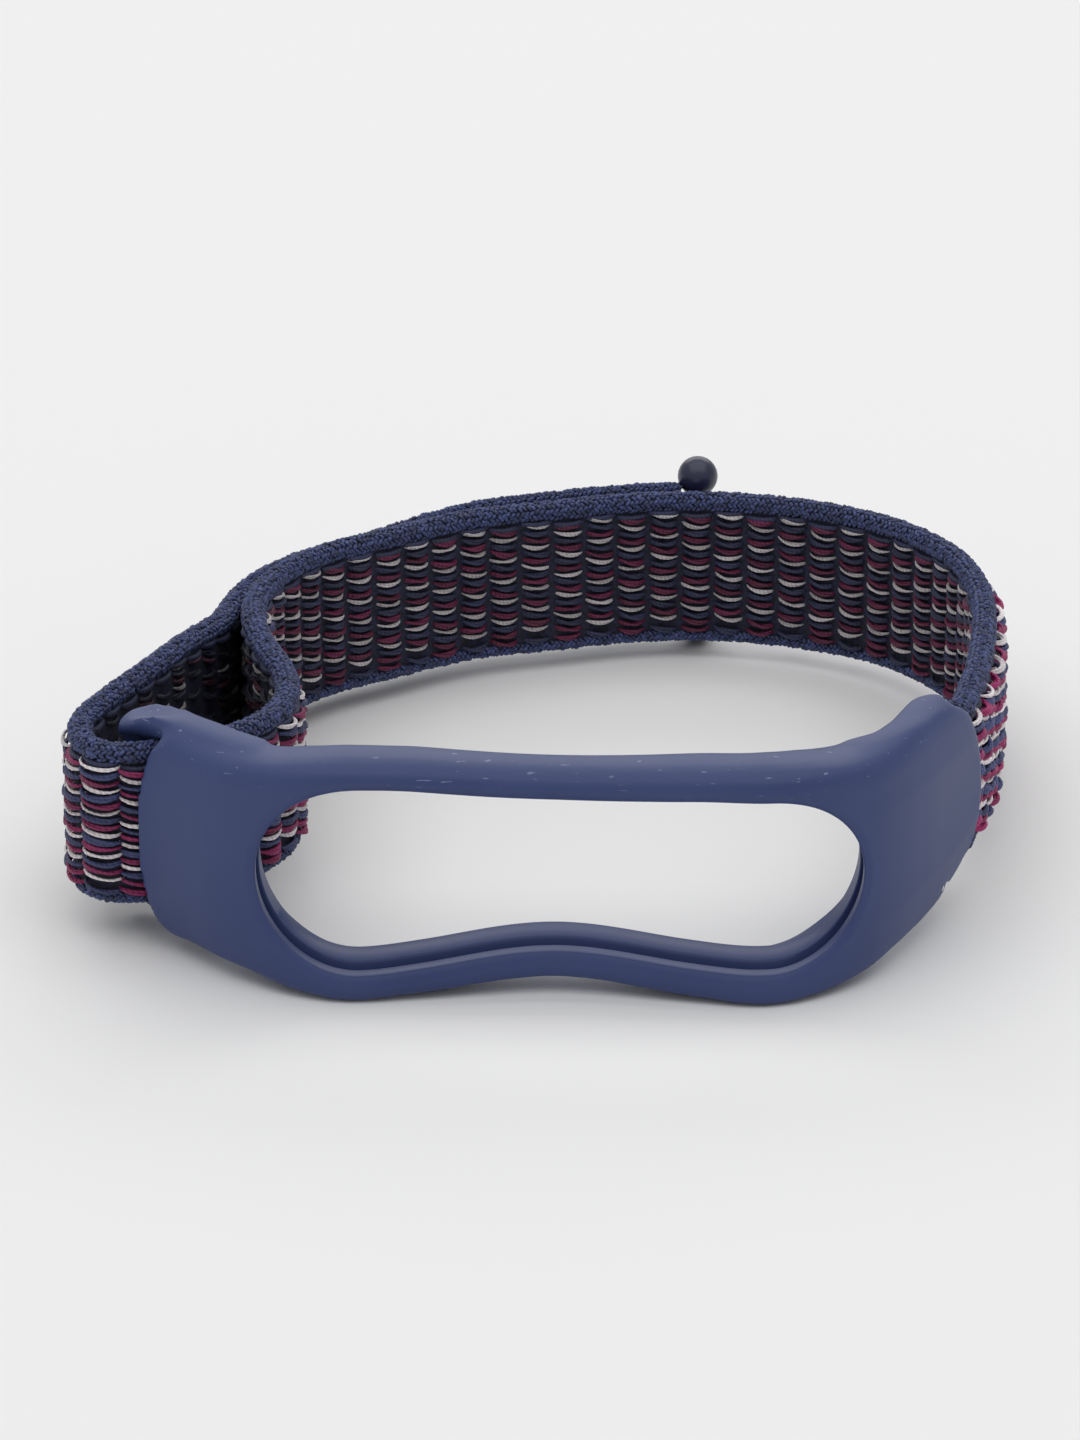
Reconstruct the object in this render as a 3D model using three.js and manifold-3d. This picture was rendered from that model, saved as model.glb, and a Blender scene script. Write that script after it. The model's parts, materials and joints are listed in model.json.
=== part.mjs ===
// Wrist band for a pill-shaped fitness tracker, in millimetres, +Z up.
// The loop stands on its edge: the tracker frame is at the front (-Y) and the woven strap runs
// round the wrist space behind it. The strap is fixed to a bar under the hood at the right, goes
// round the back, passes out through the slot at the left, turns round the slot bar and lies on
// its own outer face, where a hook patch grips it. Its free end carries a stopper bar.
import * as THREE from "three";
import { mergeVertices } from "three/addons/utils/BufferGeometryUtils.js";
import Module from "manifold-3d";

// Tracker frame
const frame_length = 66.6; // across the two ears, along X
const lobe_height_left = 20.3;
const lobe_height_right = 20;
const waist_height = 17.6;
const rail_depth = 6.3; // front to back beside the opening
const standing_flat = 0.12; // height up to which the two lobes are flat underneath
const hood_wall = 1.25; // thin edge of either ear
const bridge_thick = 1.3; // over and under the strap at each ear
const lower_bridge = 0.9; // thickness under the strap
const bar_root = 0.7; // how far the round end of a bar reaches into its bridges
const left_bridge_rise = 0.4; // of the left ear's bridge above the shell beside it

// Opening for the tracker
const opening_length = 47; // between its two round ends
const opening_height_left = 15.8;
const opening_height_right = 14.6;
const opening_waist = 12.9;
const lip_chamfer = 1.1; // width of the sloped band round the front lip
const lip_slope = 0.45; // how far back that band goes
const groove_depth = 0.8; // outwards from the lip
const groove_width = 0.9;
const groove_start = 1.9; // behind the frame's front face
const back_lip = 0.2; // how far the wall behind the groove stands in from the front lip

// Woven strap
const strap_width = 13.6;
const strap_thick = 1.9;
const selvage_height = 1.1;
const seam_gap = 0.3; // between the web and a selvage, and between the lengths of the tail
const lay_gap = 0.3; // between the tail and the strap it lies on
const strap_low = 3.3; // height of the lower edge at the slot
const droop = 0.0333; // fall of the strap for each millimetre back from the slot
const strap_step = 1.4; // length of one facet
const pressed_thick = 1.3; // where the sewn fold lies pressed round the fixed bar

// Loop
const loop_inset = 1.1; // how much narrower the loop is than the two bars' spacing
const loop_depth = 55; // from the slot bar to the back

// Bars that the strap turns round
const fixed_bar_radius = 0.85;
const slot_bar_radius = 1.2;
const wrap_gap = 0.2; // between a bar and the strap round it
const slot_gap = 4; // opening that the strap slides through
const strap_room = 0.5; // space round the strap where it passes through the frame

// Tail
const tail_count = 4; // lengths that peel away one after another
const tail_peel_start = 17; // from the end of the wrap to the first place that bends
const tail_sag = 1.1; // how far the tail hangs below the strap where the two meet
const stopper_across = 0.589; // where the tail ends, as a share of the loop's width
const hook_patch_length = 15;
const hook_patch_thick = 0.8;
const stopper_past = 1.7; // how far the stopper reaches past each edge of the strap
const stopper_radius = 1.1;
const stopper_ball_radius = 1.72;

// Sewing at the fixed end
const stitch_radius = 0.22;
const stitch_pitch = 1.9;

const navy_tpu = new THREE.MeshStandardMaterial({ color: 0x3c4a7a, roughness: 0.55 });
const navy_yarn = new THREE.MeshStandardMaterial({ color: 0x2f3763, roughness: 0.9 });
const mixed_yarn = new THREE.MeshStandardMaterial({ color: 0x54406b, roughness: 0.9 });
const dark_nylon = new THREE.MeshStandardMaterial({ color: 0x25263c, roughness: 0.6 });

const wasm = await Module();
wasm.setup();

// ---------------------------------------------------------------- solids

// Rings of equal point count, joined side to side and closed by a fan at each end.
function solid_from_rings(rings) {
  const count = rings[0].length;
  const points = rings.flat();
  const faces = [];
  const quad = (a, b, c, d) => faces.push(a, b, c, a, c, d);
  for (let i = 0; i + 1 < rings.length; i++)
    for (let j = 0; j < count; j++) {
      const k = (j + 1) % count;
      quad(i * count + j, i * count + k, (i + 1) * count + k, (i + 1) * count + j);
    }
  for (const end of [0, rings.length - 1]) {
    const ring = rings[end];
    const middle = ring.reduce((sum, p) => sum.add(p), new THREE.Vector3());
    points.push(middle.divideScalar(count));
    for (let j = 0; j < count; j++) {
      const a = end * count + j;
      const b = end * count + ((j + 1) % count);
      faces.push(points.length - 1, end ? a : b, end ? b : a);
    }
  }
  const geometry = new THREE.BufferGeometry().setFromPoints(points);
  geometry.setIndex(faces);
  return geometry;
}

function solid_of(geometry) {
  const plain = geometry.clone();
  plain.deleteAttribute("normal");
  plain.deleteAttribute("uv");
  const merged = mergeVertices(plain, 1e-4);
  const triVerts = new Uint32Array(merged.index.array);
  const vertProperties = new Float32Array(merged.attributes.position.array);
  const solid = new wasm.Manifold(new wasm.Mesh({ numProp: 3, vertProperties, triVerts }));
  if (solid.volume() > 0) return solid;
  const turned = triVerts.slice().reverse();
  return new wasm.Manifold(new wasm.Mesh({ numProp: 3, vertProperties, triVerts: turned }));
}

function geometry_of(solid) {
  const mesh = solid.getMesh();
  const geometry = new THREE.BufferGeometry();
  geometry.setAttribute("position", new THREE.BufferAttribute(mesh.vertProperties, 3));
  geometry.setIndex(new THREE.BufferAttribute(mesh.triVerts, 1));
  geometry.computeVertexNormals();
  return geometry;
}

// A flat shape given in plan, raised from one height to another with softened edges.
function plate(outline, low, high, round) {
  const shape = new THREE.Shape(outline.map(([x, y]) => new THREE.Vector2(x, y)));
  const geometry = new THREE.ExtrudeGeometry(shape, {
    depth: high - low - 2 * round,
    bevelThickness: round,
    bevelSize: round,
    bevelOffset: -round,
    bevelSegments: 2,
    curveSegments: 6,
  });
  return geometry.translate(0, 0, low + round);
}

// A bar with round ends, standing up.
function upright_bar({ x, y }, low, high, radius) {
  const bar = new THREE.CapsuleGeometry(radius, high - low - 2 * radius, 4, 20);
  return bar.rotateX(Math.PI / 2).translate(x, y, (low + high) / 2);
}

// ---------------------------------------------------------------- tracker frame

const ear_height = strap_width + 2 * (strap_room + bridge_thick);
const along = frame_length / 66.6;

// Stations from the left ear to the right: place of the front face, height of the section and
// of its middle, depth, and how far its outer and inner faces lean back at top and bottom.
const lobe_left = { height: lobe_height_left, middle: lobe_height_left / 2, depth: rail_depth };
const lobe_right = { height: lobe_height_right, middle: lobe_height_right / 2, depth: rail_depth };
const ear_left_middle = strap_low + strap_width / 2 + 0.05;
const ear_right_middle = ear_left_middle + 0.45;
const waist_middle = (lobe_left.middle + lobe_right.middle) / 2;
const stations = [
  { x: -32.9, y: 9.9, height: ear_height * 0.1, middle: ear_left_middle, depth: hood_wall, lean: 0 },
  { x: -32.75, y: 9.5, height: ear_height * 0.5, middle: ear_left_middle, depth: 1.5, lean: 0.3 },
  { x: -32.2, y: 8.9, height: ear_height * 0.86, middle: ear_left_middle, depth: 1.9, lean: 0.8 },
  { x: -31.2, y: 7.9, height: ear_height, middle: ear_left_middle, depth: 2.4, lean: 1.1 },
  { x: -29.3, y: 5.9, height: ear_height + 0.1, middle: ear_left_middle, depth: 3.3, lean: 1.2 },
  { x: -27, y: 3.8, height: ear_height + 0.5, middle: ear_left_middle, depth: 4.8, lean: 1 },
  { x: -24, y: 1.9, height: ear_height + 1, middle: ear_left_middle, depth: 5.9, lean: 0.6 },
  { x: -20.5, y: 0.3, ...lobe_left, height: lobe_height_left - 0.9, lean: 0.2 },
  { x: -16, y: -0.6, ...lobe_left, lean: 0 },
  { x: -10, y: 0, ...lobe_left, height: lobe_height_left - 0.8, lean: 0 },
  { x: 0, y: 1.1, height: waist_height, middle: waist_middle, depth: rail_depth - 0.5, lean: 0 },
  { x: 10, y: -0.5, ...lobe_right, height: lobe_height_right - 0.8, lean: 0 },
  { x: 16, y: -1.3, ...lobe_right, lean: 0 },
  { x: 20.5, y: 0, ...lobe_right, height: lobe_height_right - 0.5, lean: 0.2 },
  { x: 24.5, y: 2.6, height: ear_height + 1.2, middle: 10, depth: 5.9, lean: 0.6 },
  { x: 27.2, y: 5.5, height: ear_height + 0.6, middle: 10.3, depth: 4.6, lean: 1 },
  { x: 29.4, y: 9, height: ear_height + 0.3, middle: 10.5, depth: 2.2, lean: 1.2 },
  { x: 31, y: 12.2, height: ear_height - 0.4, middle: ear_right_middle, depth: 1.5, lean: 1.1 },
  { x: 32.3, y: 14.9, height: ear_height * 0.91, middle: 10.8, depth: hood_wall, lean: 1 },
  { x: 33.2, y: 16.9, height: ear_height * 0.76, middle: 10.8, depth: hood_wall, lean: 0.7 },
  { x: 33.65, y: 18, height: ear_height * 0.5, middle: 10.4, depth: 1.1, lean: 0.3 },
  { x: 33.8, y: 18.5, height: ear_height * 0.12, middle: 10, depth: 0.9, lean: 0 },
];

// Cubic interpolation of one named value of the stations.
function station_value(name, position) {
  const last = stations.length - 1;
  const i = Math.min(Math.floor(position), last - 1);
  const t = position - i;
  const v = [-1, 0, 1, 2].map((k) => stations[THREE.MathUtils.clamp(i + k, 0, last)][name]);
  const rise = (v[2] - v[0]) / 2;
  const fall = (v[3] - v[1]) / 2;
  const bend = 2 * (v[1] - v[2]) + rise + fall;
  const curve = v[2] - v[1] - rise - bend;
  return v[1] + t * (rise + t * (curve + t * bend));
}

const frame_front = (position) =>
  new THREE.Vector2(station_value("x", position) * along, station_value("y", position));

// Half of the section, from mid-height over the crest and down the inner face: the height as a
// share of the half height or in millimetres below the crest, and how far from outer to inner face.
const section_half = [
  { up: 0.5, across: 0 },
  { up: 0.78, across: 0 },
  { below: 1.25, across: 0.015 },
  { below: 0.72, across: 0.06 },
  { below: 0.28, across: 0.17 },
  { below: 0.05, across: 0.33 },
  { below: 0, across: 0.52 },
  { below: 0.15, across: 0.72 },
  { below: 0.55, across: 0.88 },
  { below: 1.15, across: 0.97 },
  { up: 0.8, across: 1 },
  { up: 0.4, across: 1 },
];

const foot_rounding = 0.45; // of the lower front edge, against the upper one

function frame_section(position) {
  const front = frame_front(position);
  const ahead = frame_front(Math.min(position + 0.02, stations.length - 1));
  const behind = frame_front(Math.max(position - 0.02, 0));
  const inwards = ahead.clone().sub(behind).normalize();
  inwards.set(-inwards.y, inwards.x);
  const half = station_value("height", position) / 2;
  const middle = station_value("middle", position);
  const depth = station_value("depth", position);
  const lean = station_value("lean", position);
  const point = ({ up, below, across }, side) => {
    const shrink = Math.min(1, half / 4) * (side < 0 && across < 0.5 ? foot_rounding : 1);
    const height = below === undefined ? half * up : half - below * shrink;
    const share = height / half;
    const back = lean * share * share + across * depth;
    const place = front.clone().addScaledVector(inwards, back);
    return new THREE.Vector3(place.x, place.y, middle + side * height);
  };
  const upper = section_half.map((p) => point(p, 1));
  const lower = section_half.map((p) => point(p, -1)).reverse();
  return [...upper, ...lower];
}

function frame_shell() {
  const rings = [];
  const steps = 3; // between two stations
  for (let i = 0; i <= (stations.length - 1) * steps; i++) rings.push(frame_section(i / steps));
  return solid_of(solid_from_rings(rings));
}

// Outline of the opening in the X-Z plane, grown outwards by a margin: two round ends joined by
// edges that draw in to the waist.
const opening_left = opening_height_left / 2;
const opening_right = opening_height_right / 2;
const opening_shift = 0.3; // of the opening's middle from the frame's
const left_centre = (opening_shift - opening_length / 2) * along + opening_left;
const right_centre = (opening_shift + opening_length / 2) * along - opening_right;

function opening_outline(margin) {
  const points = [];
  const arc_steps = 14;
  const edge_steps = 16;
  const arc = (centre, radius, from) => {
    for (let i = 0; i <= arc_steps; i++) {
      const turn = from + (Math.PI * i) / arc_steps;
      points.push([centre + radius * Math.cos(turn), radius * Math.sin(turn)]);
    }
  };
  const edge = (side, forward) => {
    for (let i = 1; i < edge_steps; i++) {
      const share = forward ? i / edge_steps : 1 - i / edge_steps;
      const dip = (1 - Math.cos(2 * Math.PI * share)) / 2;
      const straight = THREE.MathUtils.lerp(opening_left, opening_right, share);
      const height = THREE.MathUtils.lerp(straight, opening_waist / 2, dip);
      const x = THREE.MathUtils.lerp(left_centre, right_centre, share);
      points.push([x, side * (height + margin)]);
    }
  };
  arc(left_centre, opening_left + margin, Math.PI / 2);
  edge(-1, true);
  arc(right_centre, opening_right + margin, -Math.PI / 2);
  edge(1, false);
  return points;
}

// Front face of the frame at a place along X, and the height of its middle there.
function front_at(x) {
  let low = 0;
  let high = stations.length - 1;
  for (let i = 0; i < 30; i++) {
    const middle = (low + high) / 2;
    if (frame_front(middle).x < x) low = middle;
    else high = middle;
  }
  return { y: frame_front(low).y, z: station_value("middle", low) };
}

// The outline set back from the front face, or flat across at one place along Y.
function opening_ring(margin, back, flat = false) {
  return opening_outline(margin).map(([x, z]) => {
    const front = front_at(x);
    return new THREE.Vector3(x, flat ? back : front.y + back, front.z + z);
  });
}

function opening_cutter() {
  const before = -8;
  const past = 18;
  const lip = lip_chamfer / lip_slope;
  const ahead = 0.8;
  return solid_of(
    solid_from_rings([
      opening_ring(lip_chamfer + lip * ahead, before, true),
      opening_ring(lip_chamfer + lip * ahead, -ahead),
      opening_ring(0, lip_slope),
      opening_ring(0, groove_start),
      opening_ring(groove_depth, groove_start + 0.1),
      opening_ring(groove_depth, groove_start + groove_width),
      opening_ring(-back_lip, groove_start + groove_width + 0.15),
      opening_ring(-back_lip, rail_depth - 0.6),
      opening_ring(0.3, rail_depth + 0.1),
      opening_ring(0.3, past, true),
    ]),
  );
}

// ---------------------------------------------------------------- strap

const half_thick = strap_thick / 2;
const fixed_bar = new THREE.Vector2(28.5 * along, 14.9);
const slot_bar = new THREE.Vector2(-32.6 * along, 15);
const strap_bottom = (y) => strap_low - droop * (y - slot_bar.y);

// A point at an angle in degrees round a bar.
function round_bar(bar, radius, degrees) {
  const turn = THREE.MathUtils.degToRad(degrees);
  return new THREE.Vector2(bar.x + radius * Math.cos(turn), bar.y + radius * Math.sin(turn));
}

const fixed_wrap = fixed_bar_radius + wrap_gap + pressed_thick / 2;

// The strap's middle line from its sewn end, round the fixed bar, up the right side, across the
// back and down the S bend to the slot.
const fixed_turn = [
  [1.35, 5.3],
  [0.55, 3.7],
  [-0.75, 2],
].map(([x, y]) => new THREE.Vector2(fixed_bar.x + x, fixed_bar.y + y));
for (let degrees = 180; degrees <= 360; degrees += 30)
  fixed_turn.push(round_bar(fixed_bar, fixed_wrap, degrees));

// Points of the loop as shares of its width, from the S bend, and of its depth, from the bars.
const loop_left = slot_bar.x + 8;
const loop_width = fixed_bar.x - slot_bar.x - loop_inset;
const loop_points = [
  [0.911, 0.06],
  [0.939, 0.094],
  [0.963, 0.196],
  [0.982, 0.327],
  [0.993, 0.464],
  [0.99, 0.582],
  [0.968, 0.69],
  [0.931, 0.768],
  [0.876, 0.839],
  [0.8, 0.893],
  [0.716, 0.929],
  [0.615, 0.947],
  [0.515, 0.939],
  [0.41, 0.906],
  [0.3, 0.871],
  [0.225, 0.824],
  [0.168, 0.78],
  [0.1, 0.73],
  [0.052, 0.672],
  [0.02, 0.61],
  [0, 0.53],
  [-0.001, 0.445],
  [0.018, 0.34],
  [0.043, 0.25],
  [0.054, 0.175],
  [0.048, 0.105],
  [0.028, 0.055],
  [-0.002, 0.01],
].map(
  ([x, y]) => new THREE.Vector2(loop_left + x * loop_width, slot_bar.y + y * loop_depth),
);

// From the slot round its bar, loosely, to where the tail sets off.
const slot_turn = [
  [4.2, -2.3],
  [0.9, -3.5],
  [-1.1, -3.9],
  [-3, -3.4],
  [-4.2, -1.9],
  [-4.75, 0.6],
  [-4.6, 3.3],
].map(([x, y]) => new THREE.Vector2(slot_bar.x + x, slot_bar.y + y));

function smooth_line(points) {
  const line = points.map((p) => new THREE.Vector3(p.x, p.y, 0));
  const curve = new THREE.CatmullRomCurve3(line, false, "centripetal");
  curve.arcLengthDivisions = 1200;
  return curve;
}

const run_points = [...fixed_turn, ...loop_points, ...slot_turn];
const run_curve = smooth_line(run_points);
const run_length = run_curve.getLength();

// Place and outward normal on a curve at a length from its start, kept to the strap's left hand.
function place_on(curve, length) {
  const share = THREE.MathUtils.clamp(length / curve.getLength(), 0, 1);
  const at = curve.getPointAt(share);
  const way = curve.getTangentAt(share);
  return { at: new THREE.Vector2(at.x, at.y), out: new THREE.Vector2(way.y, -way.x) };
}

// The length along a curve whose point lies nearest to a given place.
function nearest_length(curve, place, from, to) {
  let best = from;
  let least = Infinity;
  for (let s = from; s <= to; s += 0.25) {
    const gap = place_on(curve, s).at.distanceTo(place);
    if (gap < least) [best, least] = [s, gap];
  }
  return best;
}

// The tail leaves the slot turn, crosses the pocket and lies along the strap's outer face. It is
// followed backwards along the main run, so its outward side is the run's as well.
const tail_side = strap_thick + lay_gap;
const pocket_left = loop_left - tail_side;
const pocket_points = [
  [-4.88, 0.285],
  [-2.48, 0.391],
  [-0.62, 0.478],
  [0.16, 0.552],
].map(([x, y]) => new THREE.Vector2(pocket_left + x, slot_bar.y + y * loop_depth));
const s_bend_top = nearest_length(run_curve, loop_points[19], 0, run_length);
const stopper_x = loop_left + stopper_across * loop_width;
const stopper_point = new THREE.Vector2(stopper_x, slot_bar.y + 0.946 * loop_depth);
const stopper_place = nearest_length(run_curve, stopper_point, 0, run_length);
const tail_points = [slot_turn[slot_turn.length - 1], ...pocket_points];
const lay_steps = 12;
for (let i = 0; i <= lay_steps; i++) {
  const s = THREE.MathUtils.lerp(s_bend_top, stopper_place, i / lay_steps);
  const { at, out } = place_on(run_curve, s);
  tail_points.push(at.clone().addScaledVector(out, tail_side));
}
const run_end = run_points.length - 1;
const whole_curve = smooth_line([...run_points, ...tail_points.slice(1)]);
const whole_length = whole_curve.getLength();
const turn_end = nearest_length(whole_curve, run_points[run_end], run_length - 20, run_length + 20);

// How far the lower edge hangs below its height on the main run: the tail sinks as it crosses the
// pocket and comes level again along the back.
const sag_start = turn_end + 14;
const sag_full = turn_end + 30;
const sag_fade = whole_length - 34;
const sag_end = whole_length - 12;

function sag_at(length) {
  const sink = THREE.MathUtils.smoothstep(length, sag_start, sag_full);
  return tail_sag * (sink - THREE.MathUtils.smoothstep(length, sag_fade, sag_end));
}

// The strap is pressed thinner from its sewn end until it comes out from under the hood.
const pressed_end = nearest_length(run_curve, loop_points[0], 0, 40);

function thickness_share(length) {
  const swell = THREE.MathUtils.smoothstep(length, pressed_end - 3, pressed_end + 3);
  return THREE.MathUtils.lerp(pressed_thick / strap_thick, 1, swell);
}

// One layer of the strap between two lengths, two offsets from its middle line and two heights
// above its lower edge.
function ribbon(from, to, inner, outer, low, high) {
  const count = Math.max(2, Math.round((to - from) / strap_step));
  const rings = [];
  for (let i = 0; i <= count; i++) {
    const length = THREE.MathUtils.lerp(from, to, i / count);
    const { at, out } = place_on(whole_curve, length);
    const base = strap_bottom(at.y) - sag_at(length);
    const share = thickness_share(length);
    const corner = (offset, height) => {
      const place = at.clone().addScaledVector(out, offset * share);
      return new THREE.Vector3(place.x, place.y, base + height);
    };
    rings.push([
      corner(inner, low),
      corner(inner, high),
      corner(outer, high),
      corner(outer, low),
    ]);
  }
  return solid_from_rings(rings);
}

const web_low = selvage_height + seam_gap;
const web_high = strap_width - web_low;

function strap_pieces(name, from, to, outer = half_thick, short = 0) {
  const inner = -half_thick;
  const selvage = (low, high) => ribbon(from, to - short, inner, half_thick, low, high);
  return [
    [name + "_web", ribbon(from, to, inner, outer, web_low, web_high), mixed_yarn],
    [name + "_edge_top", selvage(strap_width - selvage_height, strap_width), navy_yarn],
    [name + "_edge_bottom", selvage(0, selvage_height), navy_yarn],
  ];
}

// ---------------------------------------------------------------- ears

const ear_low = strap_bottom(fixed_bar.y) - strap_room;
const ear_high = strap_bottom(fixed_bar.y) + strap_width + strap_room;

function shifted(outline, middle) {
  return outline.map(([x, y]) => [middle.x + x, middle.y + y]);
}

// The two bridges of an ear, over and under the strap, each with its own outline.
function bridges(over, under, bar, middle, rise) {
  const crest = middle + ear_height / 2 + rise;
  return [
    plate(shifted(over, bar), ear_high, crest, 0.5),
    plate(shifted(under, bar), ear_low - lower_bridge, ear_low, 0.25),
  ];
}

function joined(shell, pieces) {
  return pieces.reduce((sum, piece) => sum.add(solid_of(piece)), shell);
}

// Loop at the left: two bridges run back from the shell and carry the slot bar.
function slot_loop(shell) {
  const over = [
    [6.5, -8.6],
    [2.6, -7],
    [0.9, -5.4],
    [0, -2.8],
    [-0.5, 0],
    [-0.2, 0.9],
    [0.6, 1.2],
    [1.8, 0.6],
    [3, -0.8],
    [5, -3],
    [8.2, -5.8],
  ];
  const under = [
    [6.5, -8.2],
    [3.4, -6],
    [1.8, -4.2],
    [0.6, -2.2],
    [-0.5, -0.2],
    [-0.4, 0.8],
    [0.4, 1.2],
    [1.6, 0.7],
    [2.8, -0.8],
    [4.8, -3],
    [8, -5.8],
  ];
  const plates = bridges(over, under, slot_bar, ear_left_middle, left_bridge_rise);
  const bar = upright_bar(slot_bar, ear_low - bar_root, ear_high + bar_root, slot_bar_radius);
  const reach = 9;
  const front = -slot_bar_radius - slot_gap;
  const slot_outline = [
    [-reach, front],
    [1, front],
    [2.6, front + 0.4],
    [6, front + 2.4],
    [reach + 2, -1],
    [reach + 2, 4],
    [4, 3],
    [1.6, -slot_bar_radius + 0.3],
    [0, -slot_bar_radius],
    [-reach, -slot_bar_radius],
  ];
  const slot = plate(shifted(slot_outline, slot_bar), ear_low, ear_high, 0.3);
  return joined(shell, [...plates, bar]).subtract(solid_of(slot));
}

// Bar under the hood at the right, between two bridges, and the space for the folded strap.
function hood_bar(shell) {
  const over = [
    [-5.6, -7.6],
    [-1.6, -7.6],
    [0.4, -4.8],
    [1.6, -1.9],
    [2.2, 0.4],
    [2, 1.8],
    [0.4, 1.9],
    [-0.7, 1],
    [-1.6, -1],
    [-2.6, -3.4],
    [-4, -5.6],
  ];
  const under = [
    [-5.6, -7.6],
    [-1.6, -7.6],
    [0, -4.8],
    [1, -1.8],
    [1.5, 0.4],
    [1.4, 1.6],
    [0.4, 1.8],
    [-0.7, 1],
    [-1.6, -1],
    [-2.6, -3.4],
    [-4, -5.6],
  ];
  const plates = bridges(over, under, fixed_bar, ear_right_middle, 0);
  const bar = upright_bar(fixed_bar, ear_low - bar_root, ear_high + bar_root, fixed_bar_radius);
  const room = half_thick + wrap_gap;
  const hollow = ribbon(0, 30, -room, room, -strap_room, strap_width + strap_room);
  return joined(shell.subtract(solid_of(hollow)), [...plates, bar]);
}

function tracker_frame() {
  const open_shell = frame_shell().subtract(opening_cutter());
  const under = new THREE.BoxGeometry(200, 200, 10).translate(0, 0, standing_flat - 5);
  return geometry_of(hood_bar(slot_loop(open_shell)).subtract(solid_of(under)));
}

// ---------------------------------------------------------------- small pieces

// Thread that runs across the strap in shallow waves, on the wrist side of the sewn end.
function sewn_row(length_along) {
  const { at, out } = place_on(whole_curve, length_along);
  const place = at.clone().addScaledVector(out, half_thick + stitch_radius + 0.12);
  const base = strap_bottom(at.y);
  const waves = Math.floor((web_high - web_low) / stitch_pitch);
  const points = [];
  for (let i = 0; i <= waves * 2; i++) {
    const height = base + web_low + 0.4 + (i * stitch_pitch) / 2;
    const sway = i % 2 ? 0.12 : 0;
    const spot = place.clone().addScaledVector(out, sway);
    points.push(new THREE.Vector3(spot.x, spot.y, height));
  }
  const section = new THREE.Shape();
  section.absarc(0, 0, stitch_radius, 0, 2 * Math.PI);
  return new THREE.ExtrudeGeometry(section, {
    steps: waves * 4,
    extrudePath: new THREE.CatmullRomCurve3(points),
    bevelEnabled: false,
    curveSegments: 6,
  });
}

// Bar with a ball at each end, moulded across the strap's free end.
function stopper_bar() {
  const { at, out } = place_on(whole_curve, whole_length);
  const clear = half_thick + lay_gap + stopper_ball_radius;
  const way = new THREE.Vector2(-out.y, out.x);
  const place = at.clone().addScaledVector(out, tail_side - clear);
  place.addScaledVector(way, stopper_radius + seam_gap);
  const half = strap_width / 2 + stopper_past;
  const ball = half - stopper_ball_radius;
  const profile = [new THREE.Vector2(0, -half)];
  const neck = Math.acos(stopper_radius / stopper_ball_radius);
  const arc_steps = 7;
  const arc = (centre, from, to, first) => {
    for (let i = first; i <= arc_steps; i++) {
      const turn = THREE.MathUtils.lerp(from, to, i / arc_steps);
      const x = stopper_ball_radius * Math.cos(turn);
      profile.push(new THREE.Vector2(Math.abs(x), centre + stopper_ball_radius * Math.sin(turn)));
    }
  };
  arc(-ball, -Math.PI / 2, neck, 1);
  arc(ball, -neck, Math.PI / 2, 0);
  profile[profile.length - 1].x = 0;
  const bar = new THREE.LatheGeometry(profile, 20);
  return bar.rotateX(Math.PI / 2).translate(place.x, place.y, half + standing_flat);
}

// ---------------------------------------------------------------- assembly

const band = new THREE.Group();

function add(name, geometry, material) {
  const mesh = new THREE.Mesh(geometry, material);
  mesh.name = name;
  band.add(mesh);
}

add("tracker_frame", tracker_frame(), navy_tpu);

const tail_start = turn_end + tail_peel_start;
const tail_length = (whole_length - tail_start) / tail_count;
const pieces = strap_pieces("strap", 0, tail_start - seam_gap / 2);
for (let i = 0; i < tail_count; i++) {
  const from = tail_start + i * tail_length + seam_gap / 2;
  const last = i === tail_count - 1;
  const to = from + tail_length - (last ? seam_gap / 2 : seam_gap);
  if (last) {
    const patch_start = Math.max(from, to - hook_patch_length);
    const face = half_thick - hook_patch_thick;
    const short = stopper_ball_radius - stopper_radius;
    pieces.push(...strap_pieces("tail_" + (i + 1), from, to, face - 0.05, short));
    const patch = ribbon(patch_start, to, face, half_thick, web_low, web_high);
    pieces.push(["hook_patch", patch, dark_nylon]);
  } else pieces.push(...strap_pieces("tail_" + (i + 1), from, to));
}
for (const [name, geometry, material] of pieces) add(name, geometry, material);

add("fold_stitching_1", sewn_row(0.9), navy_yarn);
add("fold_stitching_2", sewn_row(2.4), navy_yarn);
add("stopper_bar", stopper_bar(), dark_nylon);

// The origin is under the middle of the whole band, on the surface that it stands on.
const reach = new THREE.Box3().setFromObject(band);
const middle = reach.getCenter(new THREE.Vector3());
band.position.set(-middle.x, -middle.y, -reach.min.z);

export default band;
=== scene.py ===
# Woven wrist band with a soft moulded frame for a pill-shaped tracker.
# The frame stands at the front (-Y) and the strap runs round the wrist space behind it.
# Sizes are in millimetres until a mesh is made, which happens in metres.
import json
import math

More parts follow.
